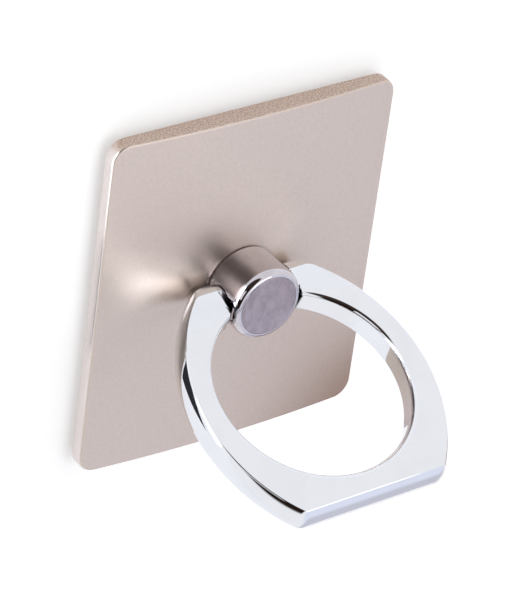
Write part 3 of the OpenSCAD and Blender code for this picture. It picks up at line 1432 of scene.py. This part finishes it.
@dataclass
class Studio:
    """Floor, surroundings, lamps and camera."""

    target: Vector = field(default_factory=lambda: Vector((1.96, -2.27, 4.3)) * MM)
    camera_place: Vector = field(default_factory=lambda: Vector((-229.4, 242.4, 293.0)) * MM)
    camera_right: Vector = field(default_factory=lambda: Vector((0.8204, 0.1150, 0.5601)))
    camera_up: Vector = field(default_factory=lambda: Vector((0.2341, 0.8262, -0.5125)))
    focal_length: float = 254.65
    sensor: float = 36.0
    clip_start: float = 0.01
    floor_size: float = 1.6
    floor_drop: float = 0.02 * MM
    floor_grey: float = 0.82
    floor_lift: float = 0.42
    surroundings: Colour = (1.0, 1.0, 1.0)
    glows: tuple[Glow, ...] = (
        Glow((0.52, -0.55, 0.65), 0.95, 0.72, (0.86, 0.90, 1.02)),
        Glow((0.50, -0.86, 0.05), 0.96, 0.86, (0.66, 0.66, 0.73)),
        Glow((-0.50, 0.55, 0.669), 0.865, 0.80, (0.05, 0.035, 0.03)),
        Glow((-0.74, 0.05, 0.67), 0.90, 0.83, (0.02, 0.012, 0.01)),
    )
    lamps: tuple[Softbox, ...] = (
        Softbox("overhead_softbox", (0.055, 0.0, 0.19), (0.09, 0.09), 0.028),
        Softbox("side_softbox", (-0.30, 0.10, 0.20), (0.16, 0.16), 0.08),
    )
    painted_reflection_cards: tuple[PaintedReflectionCard, ...] = (
        # Painted reflection of a shadowed strip of floor left of the plate: a dark card for the
        # dark band in the ring's chrome.
        PaintedReflectionCard("painted_floor_shadow_card",
             ((-19.2, -6, 0.4), (-54, -13, 0.4), (-19.2, 8, 0.4), (-35, -1.5, 0.4)),
             (0.03, 0.03, 0.035)),
        # Painted reflection of the shaded floor near the holder: a warm dark card that darkens
        # the plate's lower right.
        PaintedReflectionCard("painted_contact_shadow_card", ((11, -47, 0), (41, -22, 0), (11, -47, 21), (41, -22, 21)),
             (0.24, 0.13, 0.08), 0.6),
        # Glowing card that lights nothing: a painted highlight in the plate beside the post, and
        # a white reflection in the chrome.
        PaintedReflectionCard("painted_highlight_card", ((-38, 40, 0.5), (-60, -12, 0.5), (-38, 40, 19), (-60, -12, 19)),
             (6.0, 6.4, 6.6), 0.85),
    )

    def build(self) -> None:
        """Set up everything round the holder."""
        bpy.context.scene.view_settings.view_transform = "Standard"
        self._floor()
        self._world()
        for lamp in self.lamps:
            lamp.add(self.target)
        for reflection_card in self.painted_reflection_cards:
            reflection_card.add()
        self._camera()

    def _floor(self) -> None:
        """Pale floor that the camera and mirrors see as white, apart from its shadow."""
        deselect_all()
        bpy.ops.mesh.primitive_plane_add(size=self.floor_size, location=(0, 0, -self.floor_drop))
        floor = settle(bpy.context.object, "studio_floor")
        material, graph = node_material("studio_floor")
        shader = graph.tree.nodes["Principled BSDF"]
        graph.feed(shader, Base_Color=(*[self.floor_grey] * 3, 1), Roughness=0.9,
                   Specular_IOR_Level=0.1)
        path = graph.add("ShaderNodeLightPath")
        seen = graph.math("MAXIMUM", path.outputs["Is Camera Ray"], path.outputs["Is Glossy Ray"])
        lift = graph.add("ShaderNodeEmission")
        graph.feed(lift, Color=(1, 1, 1, 1),
                   Strength=graph.math("MULTIPLY", seen, self.floor_lift))
        both = graph.add("ShaderNodeAddShader")
        graph.link(shader.outputs[0], both.inputs[0])
        graph.link(lift.outputs[0], both.inputs[1])
        graph.feed(graph.tree.nodes["Material Output"], Surface=both.outputs[0])
        dress(floor, material)

    def _world(self) -> None:
        """Soft surroundings, brighter behind the holder and darker round the camera."""
        world = bpy.data.worlds.new("studio")
        bpy.context.scene.world = world
        world.use_nodes = True
        graph = Graph(world.node_tree)
        ground = world.node_tree.nodes["Background"]
        place = graph.add("ShaderNodeTexCoord")
        colour: object = self.surroundings
        for glow in self.glows:
            facing = graph.add("ShaderNodeVectorMath", operation="DOT_PRODUCT")
            graph.link(place.outputs["Generated"], facing.inputs[0])
            facing.inputs[1].default_value = Vector(glow.towards).normalized()
            share = graph.ramp(facing.outputs["Value"], glow.edge, glow.core)
            colour = graph.blend(share, colour, glow.colour)
        graph.feed(ground, Color=colour, Strength=1.0)

    def _camera(self) -> None:
        """Camera at the photograph's place, angle and framing."""
        deselect_all()
        bpy.ops.object.camera_add(location=self.camera_place)
        camera = bpy.context.object
        right, up = self.camera_right.normalized(), self.camera_up.normalized()
        back = right.cross(up)
        turn = Matrix((right, back.cross(right), back)).transposed()
        camera.rotation_euler = turn.to_euler()
        camera.data.lens = self.focal_length
        camera.data.sensor_width = self.sensor
        camera.data.sensor_fit = "AUTO"
        camera.data.clip_start = self.clip_start
        bpy.context.scene.camera = camera


def main() -> None:
    """Build the holder and the studio in order."""
    logging.basicConfig(level=logging.INFO, format="%(name)s: %(message)s")
    finishes = Finishes()
    for assembly in (BasePlate(finishes), SwivelPost(finishes), FingerRing(finishes)):
        assembly.build()
        LOG.info("built %s", type(assembly).__name__)
    Studio().build()


if __name__ == "__main__":
    main()
